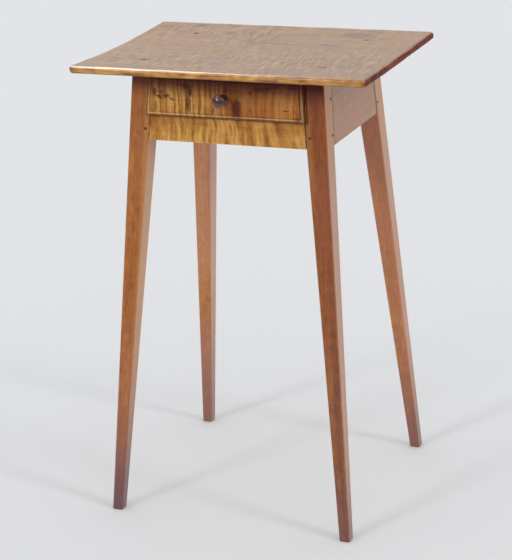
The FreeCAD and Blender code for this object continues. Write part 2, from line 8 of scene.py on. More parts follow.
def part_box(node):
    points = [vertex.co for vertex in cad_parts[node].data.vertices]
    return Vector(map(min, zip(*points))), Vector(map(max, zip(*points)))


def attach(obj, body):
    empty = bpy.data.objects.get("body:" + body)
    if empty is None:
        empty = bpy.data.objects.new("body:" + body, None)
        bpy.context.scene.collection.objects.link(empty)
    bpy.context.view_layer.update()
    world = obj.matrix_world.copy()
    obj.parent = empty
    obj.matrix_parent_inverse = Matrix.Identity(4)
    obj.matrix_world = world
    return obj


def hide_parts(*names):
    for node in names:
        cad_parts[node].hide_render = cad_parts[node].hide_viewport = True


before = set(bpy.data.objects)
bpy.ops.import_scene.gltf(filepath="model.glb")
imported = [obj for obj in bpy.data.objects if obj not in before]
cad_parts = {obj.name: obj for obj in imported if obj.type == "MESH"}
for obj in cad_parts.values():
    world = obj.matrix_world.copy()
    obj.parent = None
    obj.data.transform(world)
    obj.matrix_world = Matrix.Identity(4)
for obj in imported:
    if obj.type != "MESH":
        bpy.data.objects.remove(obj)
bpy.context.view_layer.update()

print("frame loaded:", len(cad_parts), "pieces")


# Shader wires: a wire holds one socket, and expressions on wires add their nodes

class Wire:
    def __init__(self, tree, socket=None):
        self.tree = tree
        self.socket = socket

    def node(self, kind, settings=None, sockets=None, out=0):
        made = self.tree.nodes.new(kind)
        for name, value in (settings or {}).items():
            if name == "stops":
                setStops(made.color_ramp, value)
            else:
                setattr(made, name, value)
        for name, value in (sockets or {}).items():
            self.plug(made.inputs[name], value)
        return Wire(self.tree, made.outputs[out]) if made.outputs else None

    def plug(self, socket, value):
        if isinstance(value, Wire):
            self.tree.links.new(value.socket, socket)
        elif socket.type == "RGBA":
            socket.default_value = (*value, 1)
        else:
            socket.default_value = value

    def maths(self, operation, *values):
        return self.node("ShaderNodeMath", {"operation": operation}, dict(enumerate(values)))

    def __add__(self, other):
        return self.maths("ADD", self, other)

    def __sub__(self, other):
        return self.maths("SUBTRACT", self, other)

    def __rsub__(self, other):
        return self.maths("SUBTRACT", other, self)

    def __mul__(self, other):
        return self.maths("MULTIPLY", self, other)

    def __truediv__(self, other):
        return self.maths("DIVIDE", self, other)

    def __neg__(self):
        return self * -1

    def __abs__(self):
        return self.maths("ABSOLUTE", self)

    __radd__ = __add__
    __rmul__ = __mul__

    def orMore(self, other):
        return self.maths("MAXIMUM", self, other)

    def orLess(self, other):
        return self.maths("MINIMUM", self, other)

    def root(self):
        return self.maths("SQRT", self)

    def smooth(self, low, high):                     # 0 at low, 1 at high, with soft ends
        return self.node("ShaderNodeMapRange", {"interpolation_type": "SMOOTHSTEP"},
                         {"Value": self, "From Min": low, "From Max": high})

    def stripe(self, low, high, soft):               # 1 between low and high
        return self.smooth(low - soft, low + soft) * self.smooth(high + soft, high - soft)

    def parts(self):                                 # the x, y and z of a vector
        return [self.node("ShaderNodeSeparateXYZ", None, {0: self}, axis) for axis in "XYZ"]

    def join(self, x, y, z):
        return self.node("ShaderNodeCombineXYZ", None, {"X": x, "Y": y, "Z": z})

    def noise(self, perMetre, seed=0, detail=2, rough=0.5):
        spread = self.node("ShaderNodeVectorMath", {"operation": "MULTIPLY_ADD"},
                           {0: self, 1: perMetre, 2: (seed * 1.7, seed * 2.3, seed * 3.1)})
        return self.node("ShaderNodeTexNoise", None,
                         {"Vector": spread, "Scale": 1, "Detail": detail, "Roughness": rough})

    def ramp(self, stops):
        return self.node("ShaderNodeValToRGB", {"stops": stops}, {"Fac": self})

    def over(self, below, above, way="MIX"):         # this wire is how much of the second colour shows
        return self.node("ShaderNodeMix", {"data_type": "RGBA", "blend_type": way},
                         {0: self, 6: below, 7: above}, 2)


def setStops(ramp, stops):
    while len(ramp.elements) < len(stops):
        ramp.elements.new(1)
    for element, (place, colour) in zip(ramp.elements, stops):
        element.position = place
        element.color = (*shade(*colour), 1)


def shade(red, green, blue):                         # a picture colour, 0 to 255, as Blender's linear one
    return tuple(((part / 255 + 0.055) / 1.055) ** 2.4 for part in (red, green, blue))


def newMaterial(name):
    material = bpy.data.materials.new(name)
    material.use_nodes = True
    material.node_tree.nodes.clear()
    return material, Wire(material.node_tree)


def dress(node, material):
    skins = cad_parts[node].data.materials
    skins.clear()
    skins.append(material)


# The splay of the frame, which the legs' grain and the joint lines follow

splay = {
    "height": 0.711, "legSize": 0.032,
    "floorHalf": (0.1985, 0.1915), "topHalf": (0.150, 0.123),     # from the middle to the legs' outer faces
}


def slope(axis):                                     # how far the legs lean out for each metre down
    return (splay["floorHalf"][axis] - splay["topHalf"][axis]) / splay["height"]


def outerHalf(z, axis):                              # from the middle to the legs' outer faces, at a height
    return splay["floorHalf"][axis] - z * slope(axis)


# Wood: each layer has its counts per metre along, across and through the grain, and its depth

maple = {
    "tones": [(0.1, (96, 54, 22)), (0.4, (142, 94, 42)), (0.62, (170, 122, 58)), (0.95, (202, 160, 92))],
    "lift": 0.5,                                     # the middle of the tones
    "bands": ((1.6, 26, 26), 0.6),                   # slow bands of colour
    "lines": ((5, 240, 240), 0.3),                   # year lines
    "fibre": ((26, 1100, 1100), 0.25),               # the finest fibre
    "mottle": ((45, 60, 60), 0.35),
    "flecks": ((30, 420, 420), 0.3),                 # short dark dashes
    "curl": ((200, 14, 14), 0.3),                    # stripes across the grain
    "curlWander": 0.012, "curlLean": 0,
    "patches": (7, 11, 11), "patchFloor": 0,         # where the stripes show, and how much they do elsewhere
    "blush": (176, 112, 78), "blushShare": 0.35,
    "endDepth": 0.3, "endDull": 0.9,                 # cut ends are darker and drink the polish
    "edge": (206, 160, 100), "edgeShare": 0.3, "edgeWidth": 0.0015,
    "roughness": 0.38, "specular": 0.5, "coat": 0.6, "coatRoughness": 0.18,
    "bumpDepth": 0.00016,
}

cherry = {
    **maple,
    "tones": [(0.1, (78, 34, 12)), (0.4, (129, 68, 23)), (0.62, (160, 92, 34)), (0.95, (194, 129, 62))],
    "bands": ((1.1, 40, 40), 0.7),
    "lines": ((4, 260, 260), 0.4),
    "fibre": ((40, 900, 900), 0.6),
    "mottle": ((60, 90, 90), 0.35),
    "flecks": ((90, 760, 760), 0.28),
    "curl": ((110, 20, 20), 0.08),
    "blush": (150, 78, 50), "blushShare": 0.4,
    "edge": (190, 134, 82), "edgeShare": 0.35,
    "specular": 0.3, "coat": 0.55,
}

plainWood = {
    **maple,
    "tones": [(0.1, (120, 86, 54)), (0.4, (158, 122, 82)), (0.62, (180, 146, 102)), (0.95, (204, 174, 130))],
    "curl": ((200, 14, 14), 0.04), "blushShare": 0.1,
    "roughness": 0.7, "coat": 0.0, "edgeShare": 0.15,
}

rawWood = {"tone": (146, 116, 82), "share": 0.6, "roughness": 0.85, "specular": 0.1}     # never polished


class Surface:                                       # what a paint function may read of one piece
    def __init__(self, start, order, lean):
        self.start = start
        self.place = start.node("ShaderNodeTexCoord", out="Object")
        self.x, self.y, self.z = self.place.parts()
        self.facing = dict(zip("xyz", start.node("ShaderNodeNewGeometry", out="Normal").parts()))
        straight = {"x": self.x - self.z * lean[0], "y": self.y - self.z * lean[1], "z": self.z}
        self.along, self.across, self.through = [straight[axis] for axis in order]
        self.grain = start.join(self.along, self.across, self.through)
        self.ends = abs(self.facing[order[0]]).smooth(0.55, 0.85)     # faces cut across the grain

    def layer(self, look, name, seed, detail=2, rough=0.5):
        counts, depth = look[name]
        return (self.grain.noise(counts, seed, detail, rough) - 0.5) * depth

    def curl(self, look, seed):
        counts, depth = look["curl"]
        wander = self.grain.noise((9, 16, 16), seed + 5, 1) - 0.5
        slid = self.along + wander * look["curlWander"] + self.across * look["curlLean"]
        patches = self.grain.noise(look["patches"], seed + 4, 1).smooth(0.3, 0.6)
        stripes = self.start.join(slid, self.across, self.through).noise(counts, seed + 3, 3, 0.6)
        return (stripes.smooth(0.32, 0.68) - 0.5) * patches.orMore(look["patchFloor"]) * depth

    def flecks(self, look, seed):
        counts, depth = look["flecks"]
        return self.grain.noise(counts, seed + 8, 1).smooth(0.6, 0.74) * -depth

    def edges(self, width):                          # 1 along worn arrises
        rounded = self.start.node("ShaderNodeBevel", {"samples": 4}, {"Radius": width})
        flat = self.start.node("ShaderNodeNewGeometry", out="True Normal")
        return self.start.node("ShaderNodeVectorMath", {"operation": "DOT_PRODUCT"},
                               {0: rounded, 1: flat}, "Value").smooth(0.98, 0.72)

    def sheltered(self, near):                       # 1 close under something, 0 in the open
        clear = self.start.node("ShaderNodeAmbientOcclusion", {"samples": 8}, {"Distance": near}, "AO")
        return clear.smooth(0.95, 0.8)

    def stains(self, across, up, marks, ragged):     # marks: place and half sizes in mm, turn, depth
        total = None
        for u, v, halfU, halfV, turn, depth in marks:
            cosine, sine = math.cos(math.radians(turn)), math.sin(math.radians(turn))
            du, dv = across - u / 1000, up - v / 1000
            longWay = (du * cosine + dv * sine) / (halfU / 1000)
            shortWay = (dv * cosine - du * sine) / (halfV / 1000)
            reach = (longWay * longWay + shortWay * shortWay).root()
            mask = (reach + (ragged - 0.5) * 1.1).smooth(1.15, 0.45) * depth
            total = mask if total is None else total.orMore(mask)
        return total


# order: the axes along, across and through the grain; bare: the axis and way that unpolished faces look
def wood(name, look, order, seed, lean=(0, 0), bare=None, paint=None):
    material, start = newMaterial("wood_" + name)
    piece = Surface(start, order, lean)
    bands = piece.layer(look, "bands", seed, 3)
    lines = piece.layer(look, "lines", seed + 1, 4, 0.6)
    fibre = piece.layer(look, "fibre", seed + 2)
    mottle = piece.layer(look, "mottle", seed + 6, 3, 0.6)
    curl = piece.curl(look, seed)
    flecks = piece.flecks(look, seed)
    tone = look["lift"] + bands + lines + fibre + mottle + curl + flecks - piece.ends * look["endDepth"]
    colour = tone.ramp(look["tones"])
    blush = piece.grain.noise((3, 14, 14), seed + 7).smooth(0.45, 0.7) * look["blushShare"]
    colour = blush.over(colour, shade(*look["blush"]))
    wearAndHighlight = piece.edges(look["edgeWidth"]) * look["edgeShare"]
    colour = wearAndHighlight.over(colour, shade(*look["edge"]))
    rough = look["roughness"] + fibre * 0.3 + bands * 0.12
    dull = piece.ends * look["endDull"]
    if paint:
        colour = paint(piece, tone, colour)
    if bare:
        axis, way = bare
        unpolished = (piece.facing[axis] * way).smooth(0.4, 0.8)
        colour = (unpolished * rawWood["share"]).over(colour, shade(*rawWood["tone"]))
        dull = dull.orMore(unpolished)
    height = fibre + curl * 1.5 + lines * 0.6 + flecks
    normal = start.node("ShaderNodeBump", None, {
        "Strength": 0.5, "Distance": look["bumpDepth"], "Height": height})
    polished = start.node("ShaderNodeBsdfPrincipled", None, {
        "Base Color": colour, "Roughness": rough, "Specular IOR Level": look["specular"],
        "Coat Weight": look["coat"], "Coat Roughness": look["coatRoughness"], "Normal": normal})
    raw = start.node("ShaderNodeBsdfPrincipled", None, {
        "Base Color": colour, "Roughness": rawWood["roughness"], "Specular IOR Level": rawWood["specular"],
        "Normal": normal})
    surface = start.node("ShaderNodeMixShader", None, {0: dull, 1: polished, 2: raw})
    start.node("ShaderNodeOutputMaterial", None, {"Surface": surface})
    return material


# Painted shade under the top's overhang: its tone, and the heights it darkens between
overhang = {
    "tone": (74, 16, 16),
    "from": 0.653, "to": 0.685, "near": 0.06,        # heights, and how close the top has to be
}


def overhangShade(piece, colour, depth, low=overhang["from"]):    # painted shade: darker close under the top's overhang, on faces that stand upright
    upright = piece.facing["z"].smooth(0.6, 0.3)
    share = piece.z.smooth(low, overhang["to"]) * upright * piece.sheltered(overhang["near"]) * depth
    return share.over(colour, shade(*overhang["tone"]))


# The top: one cupped board, planed by hand, with rounded edges

topBoard = {
    "rounding": 0.005, "thickness": 0.012,
    "cups": (0.005, 0.001),                          # how far the middle sags at the left and the right end
    "skews": (0.0045, 0.0025),                       # how far the back corners lie to the left, at each end
    "endSteepness": 5,                               # the higher, the nearer the ends the cup and skew change
    "steps": (48, 36, 2), "turns": 6,                # faces between the rounded edges and round them
    "wear": 0.0005, "wearPerMetre": 22,
    "faceTones": [(0.05, (86, 52, 18)), (0.4, (140, 95, 38)), (0.62, (166, 118, 52)), (0.95, (194, 148, 80))],
    "edgeTones": [(0.1, (92, 44, 20)), (0.4, (148, 92, 34)), (0.62, (186, 128, 50)), (0.95, (214, 162, 80))],
    "edgeLift": 0.58, "edgeStreaks": ((14, 220, 260), 1.1), "edgeBlots": ((55, 40, 120), 1.3),
    "endTones": [(0.0, (84, 32, 22)), (0.3, (122, 56, 40)), (0.7, (156, 84, 60))],
    "rosy": (150, 108, 86), "rosyShare": 0.3,
    "arris": (246, 226, 208), "arrisShare": 0.95,    # painted highlight along the front's upper arris
    "stain": (62, 38, 26), "stainWaver": 0.008,
    "marks": [
        (-158, 153, 14, 8, 20, 0.85),                # knot
        (122, 128, 34, 20, 0, 0.5),                  # dull patch
        (-142, -100, 14, 11, 0, 0.7), (142, -100, 11, 9, 0, 0.75),   # darker round the front pegs
        (-188, -118, 12, 8, 0, 0.4),                 # worn corner
        (96, 53, 34, 4, 2, 0.75), (10, 50, 60, 4, -3, 0.55),         # dark vein
    ],
}

topMaple = {
    **maple,
    "bands": ((1.6, 26, 26), 0.5), "lines": ((7, 260, 260), 0.7), "mottle": ((90, 60, 60), 0.5),
    "curl": ((240, 30, 30), 0.45), "curlLean": 0.06, "patches": (5, 7, 7), "patchFloor": 0.25,
    "coat": 0.45, "coatRoughness": 0.12,
}


def latticeLine(half, rounding, steps, turns):       # places along one side, closer where it rounds off
    flat = half - rounding
    corner = [flat + rounding * math.tan(math.pi / 4 * turn / turns) for turn in range(turns + 1)]
    inner = [flat * (2 * step / steps - 1) for step in range(1, steps)]
    return [-place for place in reversed(corner)] + inner + corner


def roundedBoard(halves, rounding, steps, turns):    # corners as (place on the inner box, way out), and faces
    lines = [latticeLine(half, rounding, count, turns) for half, count in zip(halves, steps)]
    flats = [half - rounding for half in halves]
    numbers, corners, faces = {}, [], []

    def corner(key):
        if key not in numbers:
            place = Vector([lines[axis][key[axis]] for axis in range(3)])
            inside = Vector([max(-flat, min(flat, at)) for flat, at in zip(flats, place)])
            numbers[key] = len(corners)
            corners.append((inside, (place - inside).normalized()))
        return numbers[key]

    for axis in range(3):
        one, two = [other for other in range(3) if other != axis]
        for last in (0, len(lines[axis]) - 1):
            for i in range(len(lines[one]) - 1):
                for j in range(len(lines[two]) - 1):
                    key = {axis: last}
                    ring = [{**key, one: i + a, two: j + b} for a, b in ((0, 0), (1, 0), (1, 1), (0, 1))]
                    faces.append([corner((at[0], at[1], at[2])) for at in ring])
    return corners, faces


def makeTop():
    low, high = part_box("top_board")
    halves = (high.x, high.y, topBoard["thickness"] / 2)
    middle = splay["height"] - topBoard["thickness"] / 2
    corners, faces = roundedBoard(halves, topBoard["rounding"], topBoard["steps"], topBoard["turns"])
    places = []
    for inside, way in corners:
        wearAndHighlight = noise.noise(inside * topBoard["wearPerMetre"] + way) * topBoard["wear"]
        place = inside + way * (topBoard["rounding"] + wearAndHighlight)
        toRight = (place.x / high.x) ** topBoard["endSteepness"] / 2 + 0.5
        toBack = place.y / high.y / 2 + 0.5
        ends = (topBoard["cups"], topBoard["skews"])
        cup, skew = [left * (1 - toRight) + right * toRight for left, right in ends]
        place.z += middle - cup * (1 - (place.y / high.y) ** 2)
        place.x -= skew * toBack
        places.append(place)
    mesh = bpy.data.meshes.new("top")
    mesh.from_pydata(places, [], faces)
    shaped = bmesh.new()
    shaped.from_mesh(mesh)
    bmesh.ops.recalc_face_normals(shaped, faces=shaped.faces)
    shaped.to_mesh(mesh)
    shaped.free()
    mesh.shade_smooth()
    top = bpy.data.objects.new("top", mesh)
    bpy.context.scene.collection.objects.link(top)
    mesh.materials.append(wood("top", topMaple, "xyz", 11, bare=("z", -1), paint=topPaint))
    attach(top, "table")
    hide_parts("top_board")


def topPaint(piece, tone, colour):
    up = piece.facing["z"].smooth(0.6, 0.95)
    streaks, blots = piece.layer(topBoard, "edgeStreaks", 22, 3), piece.layer(topBoard, "edgeBlots", 23)
    edgeTone = topBoard["edgeLift"] + streaks + blots
    colour = up.over(edgeTone.ramp(topBoard["edgeTones"]), tone.ramp(topBoard["faceTones"]))
    rosy = piece.grain.noise((8, 14, 14), 21).smooth(0.45, 0.7) * up * topBoard["rosyShare"]
    colour = rosy.over(colour, shade(*topBoard["rosy"]))
    ends = abs(piece.facing["x"]).smooth(0.3, 0.7)
    colour = ends.over(colour, tone.ramp(topBoard["endTones"]))
    # painted highlight on the front's upper arris, fading out towards the right end
    arris = piece.facing["z"].stripe(0.62, 0.82, 0.05) * (-piece.facing["y"]).smooth(0.3, 0.45)
    paintedReflection = arris * piece.x.smooth(0.18, -0.12) * topBoard["arrisShare"]
    colour = paintedReflection.over(colour, shade(*topBoard["arris"]))
    ragged = piece.grain.noise((60, 160, 60), 3, 3)
    waved = piece.across + (piece.grain.noise((22, 3, 3), 4) - 0.5) * topBoard["stainWaver"]
    stained = piece.stains(piece.along, waved, topBoard["marks"], ragged)
    return stained.over(colour, shade(*topBoard["stain"]))


topPeg = {
    **cherry,
    "tones": [(0.1, (92, 60, 28)), (0.5, (128, 92, 44)), (0.95, (152, 112, 62))],
    "edge": (70, 46, 26), "edgeShare": 0.3, "edgeWidth": 0.0006, "endDepth": 0.05, "endDull": 0,
}

makeTop()
dress("top_pegs", wood("top_pegs", topPeg, "zxy", 12))
print("top made")


# The legs: a golden strip of sapwood inside, redder at the top and darker there with painted shade under the
# top's overhang, painted light on the right-hand faces, dull at the foot

legs = {
    "tones": {
        # the golden tone for right-hand faces is painted light; the last tone on the next line is the painted
        # shadow beside the drawer's lip
        "sap": (196, 140, 70), "upper": (250, 238, 222), "upperSide": (176, 112, 24),
        "wearAndHighlight": (206, 150, 130), "foot": (98, 66, 76), "besideLipShadow": (56, 24, 16),
    },
    "sapInward": (0.019, 0.027), "sapFade": 0.12,    # from the outer face, and the height that it fades over
    "upperFrom": (0.56, 0.62),
    "upperSideFrom": (0.5, 0.64), "upperSideShare": 0.85, "sideBelow": (0.66, 0.5),  # painted light on the right-hand faces: golden up high, a pale painted sheen lower down
    "besideLipShadowInward": (0.0258, 0.0282), "besideLipShadowFrom": (0.628, 0.634), "besideLipShadowShare": 0.7,    # painted shadow of the drawer's lip on the leg beside it
    # per leg: how deep and from what height the painted shade under the top's overhang goes, and the pale
    # painted sheen of its right-hand faces
    "pieces": {                                      # way: to which sides it leans
        "leg_front_left": {
            "seed": 21, "way": (-1, -1), "lift": 0.62, "blush": 0.15, "wearAndHighlight": 0.05,
            "sap": 0.5, "sapFrom": 0.15, "foot": 0.9, "footReach": 0.22, "overhangShade": 0.75, "overhangShadeFrom": 0.65,
            "side": (202, 158, 128), "sideShare": 0.4},
        "leg_front_right": {
            "seed": 22, "way": (1, -1), "lift": 0.44, "blush": 0.8, "wearAndHighlight": 0.04,
            "sap": 0.3, "sapFrom": 0.48, "foot": 0.5, "footReach": 0.16, "overhangShade": 0.92, "overhangShadeFrom": 0.648,
            "side": (202, 160, 132), "sideShare": 0.5},
        "leg_back_left": {
            "seed": 23, "way": (-1, 1), "lift": 0.72, "blush": 0.3, "wearAndHighlight": 0.3,
            "sap": 0.1, "sapFrom": 0.15, "foot": 0.6, "footReach": 0.3, "overhangShade": 0.8, "overhangShadeFrom": 0.653,
            "side": (206, 166, 140), "sideShare": 0.45},
        "leg_back_right": {
            "seed": 24, "way": (1, 1), "lift": 0.68, "blush": 0.4, "wearAndHighlight": 0.17,
            "sap": 0.1, "sapFrom": 0.15, "foot": 0.6, "footReach": 0.22, "overhangShade": 0.8, "overhangShadeFrom": 0.653,
            "side": (192, 148, 124), "sideShare": 0.4},
    },
}


def legPaint(leg):
    tones = {name: shade(*tone) for name, tone in {**legs["tones"], "side": leg["side"]}.items()}

    def paint(piece, tone, colour):
        inward = outerHalf(piece.z, 0) - abs(piece.x)
        right = piece.facing["x"].smooth(0.5, 0.9)
        front = (-piece.y).smooth(0.1, 0.11)
        sapRise = piece.z.smooth(leg["sapFrom"], leg["sapFrom"] + legs["sapFade"])
        sap = inward.smooth(*legs["sapInward"]) * sapRise * leg["sap"]
        colour = sap.over(colour, tones["sap"])
        colour = piece.z.smooth(*legs["upperFrom"]).over(colour, tones["upper"], "MULTIPLY")
        # painted shadow where the drawer's lip shades the leg's inner edge
        corner = inward.smooth(*legs["besideLipShadowInward"]) * front
        shares = {
            # painted light: right-hand faces golden up high and paler below, where light from the right falls
            "upperSide": right * piece.z.smooth(*legs["upperSideFrom"]) * legs["upperSideShare"],
            "side": right * piece.z.smooth(*legs["sideBelow"]) * leg["sideShare"],
            "wearAndHighlight": piece.grain.noise((5, 9, 9), leg["seed"] + 9).smooth(0.2, 0.5) * leg["wearAndHighlight"],
            "foot": piece.z.smooth(leg["footReach"], 0) * leg["foot"],
            "besideLipShadow": corner * piece.z.smooth(*legs["besideLipShadowFrom"]) * legs["besideLipShadowShare"],
        }
        for name, share in shares.items():
            colour = share.over(colour, tones[name])
        # painted shade under the top's overhang, left off the right-hand faces
        return overhangShade(piece, colour, (1 - right) * leg["overhangShade"], leg["overhangShadeFrom"])
    return paint


for node, leg in legs["pieces"].items():
    lean = [-slope(axis) * leg["way"][axis] for axis in (0, 1)]
    look = {**cherry, "lift": leg["lift"], "blushShare": leg["blush"]}
    dress(node, wood(node, look, "zxy", leg["seed"], lean=lean, paint=legPaint(leg)))
print("legs dressed")


# The rail and aprons, with their joint lines and pegs, and the drawer's runners

frontMaple = {
    **maple,
    "tones": [(0.0, (102, 52, 18)), (0.35, (148, 92, 34)), (0.62, (188, 132, 56)), (0.95, (220, 170, 92))],
    "lift": 0.6, "mottle": ((110, 60, 60), 0.5), "flecks": ((60, 420, 420), 0.06),
    "curl": ((250, 7, 7), 0.85), "patches": (9, 12, 12), "patchFloor": 0.5,
    "blush": (184, 108, 50), "blushShare": 0.45,
    "specular": 0.25, "coat": 0.4,
}

railMaple = {
    **frontMaple,
    "lift": 0.58, "curl": ((130, 16, 16), 0.65), "curlWander": 0.02, "curlLean": 0.17, "patchFloor": 0.35,
    "rightTint": (246, 240, 236),
    "railLipShadow": (56, 28, 14), "railLipShadowFrom": (0.6285, 0.6318), "railLipShadowShare": 0.65,  # painted shadow under the drawer's lip
}

apron = {
    **cherry,
    "tones": [(0.1, (110, 70, 44)), (0.4, (148, 102, 68)), (0.62, (168, 120, 84)), (0.95, (192, 150, 112))],
    "bands": ((1.1, 22, 22), 0.4), "flecks": ((50, 500, 500), 0.15), "fibre": ((22, 1000, 1000), 0.25),
    "blush": (158, 100, 74), "coat": 0.4,
}

seams = {
    "tone": (58, 32, 24),
    "across": 0.002, "along": 0.006,                 # widths at the front and back, and at the sides
    "perMetre": (120, 120, 120), "raggedness": 1.6,
}


def seamPaint(axis, width):                          # a dark ragged line where a board meets the legs
    def paint(piece, tone, colour):
        inward = outerHalf(piece.z, axis) - splay["legSize"] - abs((piece.x, piece.y)[axis])
        ragged = piece.place.noise(seams["perMetre"], 9)
        edge = (inward / width + (ragged - 0.5) * seams["raggedness"]).smooth(1, 0.3)
        return (edge * ragged.smooth(0.25, 0.5)).over(colour, shade(*seams["tone"]))
    return paint


def railPaint(piece, tone, colour):
    colour = piece.x.smooth(-0.03, 0.03).over(colour, shade(*railMaple["rightTint"]), "MULTIPLY")
    colour = seamPaint(0, seams["across"])(piece, tone, colour)
    # painted shadow of the drawer's lip along the rail's top
    under = piece.z.smooth(*railMaple["railLipShadowFrom"]) * railMaple["railLipShadowShare"]
    return under.over(colour, shade(*railMaple["railLipShadow"]))


acrossPaint, alongPaint = seamPaint(0, seams["across"]), seamPaint(1, seams["along"])
dress("front_rail", wood("front_rail", railMaple, "xzy", 31, bare=("y", 1), paint=railPaint))
dress("back_apron", wood("back_apron", apron, "xzy", 32, bare=("y", -1), paint=acrossPaint))
dress("left_apron", wood("left_apron", apron, "yzx", 33, bare=("x", 1), paint=alongPaint))
dress("right_apron", wood("right_apron", apron, "yzx", 34, bare=("x", -1), paint=alongPaint))

darkPeg = {
    **cherry,
    "tones": [(0.1, (66, 34, 22)), (0.5, (112, 66, 44)), (0.95, (146, 96, 68))],
    "edge": (40, 22, 14), "edgeShare": 0.8, "edgeWidth": 0.0008, "endDepth": 0.1,
}
redPeg = {**darkPeg, "lift": 0.75, "edge": (96, 40, 24), "edgeShare": 0.6}
pegs = [("front_rail_pegs", "yxz", darkPeg), ("back_apron_pegs", "yxz", darkPeg),
        ("left_apron_pegs", "xyz", redPeg), ("right_apron_pegs", "xyz", redPeg)]
for seed, (node, order, look) in enumerate(pegs, 35):
    dress(node, wood(node, look, order, seed))

for seed, node in enumerate(["left_runner", "left_guide", "right_runner", "right_guide"], 41):
    dress(node, wood(node, plainWood, "yxz", seed))
print("frame dressed")


# The drawer: a striped front with painted highlights and shade on the moulding round it, and plain boards
# behind

drawer = {
    "moulding": 0.0075,                              # from the lip's edge to the flat field
    # On the moulding: painted shade on its outer rounding, dirt with painted shade in its edges, a painted
    # highlight on its crest, a painted reflection on its right side
    "lipEdgeShade": (70, 34, 18), "grimeAndShade": (40, 20, 14), "wearAndHighlight": (220, 174, 110), "paintedReflection": (158, 138, 122),
    "deep": (222, 206, 180), "deepEase": 0.45,       # darker in the middle, and less so to the right
    # how deep the painted shade under the top's overhang goes
    "overhangShade": 0.88,
    "amber": (206, 118, 50), "amberMarks": [(-20, 660, 4.8, 2.9, 0, 0.7), (110, 645, 2.5, 2.3, 0, 0.7)],
    "stain": (74, 22, 8), "stainWaver": 0.008,
    "marks": [
        (-73, 683, 2.6, 3.4, 0, 1.0),                # old notch in the upper edge, painted as the dark shade inside it
        (-59, 680, 11, 4.2, 0, 0.95), (-53, 671, 5, 9, 0, 0.9),      # burnt streak
        (-56, 654, 5.5, 18, 0, 0.7),
        (-110, 669, 4, 7, 0, 0.75), (-103, 662, 9, 4, -20, 0.8),     # mottling
        (-93, 664, 9, 3.4, -10, 0.75), (-82, 660, 7, 2.6, -15, 0.7),
        (-98, 670, 7, 3.2, 0, 0.6), (-108, 649, 3.6, 8.9, 0, 0.45),
        (5, 678, 2.2, 6, 0, 0.9), (20, 650, 9, 18, 0, 0.8),          # round the knob: a dark streak above it, and to its lower right the knob's painted shadow over dark figure
        (-17, 645, 2.2, 6.5, 0, 0.6), (40, 675, 3.1, 4.4, 0, 0.6),
        (42, 648, 2.5, 5.8, 0, 0.5), (-35, 654, 1.9, 10.3, 0, 0.4),
        (-45, 651, 1.6, 8.8, 0, 0.35), (-78, 647, 1.6, 8.9, 0, 0.35),
        (55, 679, 9, 2.6, 5, 0.9), (69, 681, 9, 3, 0, 0.95),         # wavy line
        (81, 684, 9, 2.4, 12, 0.9), (107, 684, 8, 4.4, 0, 0.85),
        (95, 651, 2.8, 1.8, 0, 1.0), (99, 651, 3, 1.1, 0, 0.8),      # gouge
    ],
}


def drawerPaint(piece, tone, colour):
    low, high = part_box("drawer_front")
    fromSide = high.x - (piece.z - low.z) * slope(0) - abs(piece.x)
    fromEdge = fromSide.orLess(piece.z - low.z).orLess(high.z - piece.z)
    front = (-piece.facing["y"]).smooth(0.1, 0.4)
    right = piece.x.smooth(0.108, 0.116)
    width = drawer["moulding"]
    ragged = piece.grain.noise((140, 70, 60), 6, 3)
    across = piece.along + (piece.grain.noise((110, 90, 60), 7) - 0.5) * drawer["stainWaver"]
    up = piece.across + (piece.grain.noise((90, 110, 60), 8) - 0.5) * drawer["stainWaver"]
    patchy, groove = 0.2 + ragged * 0.8, 0.1 + ragged * 0.4 + right * 0.5
    layers = [
        (piece.stains(across, up, drawer["amberMarks"], ragged), "amber"),
        # painted shade on the outer half of the moulding's rounding
        (fromEdge.smooth(width * 0.5, width * 0.35) * 0.65, "lipEdgeShade"),
        # painted highlight along the moulding's crest, left off the right side
        (fromEdge.stripe(width * 0.55, width * 0.72, 0.0004) * (1 - right) * patchy, "wearAndHighlight"),
        # painted reflection: a pale grey band on the moulding's right side
        (fromSide.stripe(width * 0.35, width * 0.6, 0.0005) * right * 0.7, "paintedReflection"),
        # dirt in the quirk at the field's edge with painted shade, strongest on the right side
        (fromEdge.stripe(width - 0.0012, width + 0.0003, 0.0004) * groove, "grimeAndShade"),
        # painted shadow of the gap along the lip's outer edge
        (fromEdge.smooth(0.0014, 0.0004) * 0.8, "grimeAndShade"),
    ]
    deep = piece.x.smooth(-0.03, 0.02) * (1 - piece.x.smooth(0.04, 0.1) * drawer["deepEase"]) * front
    colour = deep.over(colour, shade(*drawer["deep"]), "MULTIPLY")
    for share, name in layers:
        colour = (share * front).over(colour, shade(*drawer[name]))
    # painted shade under the top's overhang
    colour = overhangShade(piece, colour, drawer["overhangShade"])
    stained = piece.stains(across, up, drawer["marks"], ragged) * front
    return stained.over(colour, shade(*drawer["stain"]))


dress("drawer_front", wood("drawer_front", frontMaple, "xzy", 51, bare=("y", 1), paint=drawerPaint))
boards = [("drawer_left_side", "yzx"), ("drawer_right_side", "yzx"),
          ("drawer_back", "xzy"), ("drawer_bottom", "xyz")]
for seed, (node, order) in enumerate(boards, 52):
    dress(node, wood(node, plainWood, order, seed))

knob = {
    **cherry,
    "tones": [(0.1, (56, 30, 26)), (0.45, (92, 54, 48)), (0.7, (118, 76, 70)), (0.95, (146, 104, 96))],
    "endDepth": 0.05, "endDull": 0, "coat": 1, "coatRoughness": 0.16, "roughness": 0.32, "blushShare": 0.1,
    "neck": (52, 18, 16), "neckShare": 0.75, "neckFrom": (0.006, 0.012),    # dark behind the rim
}


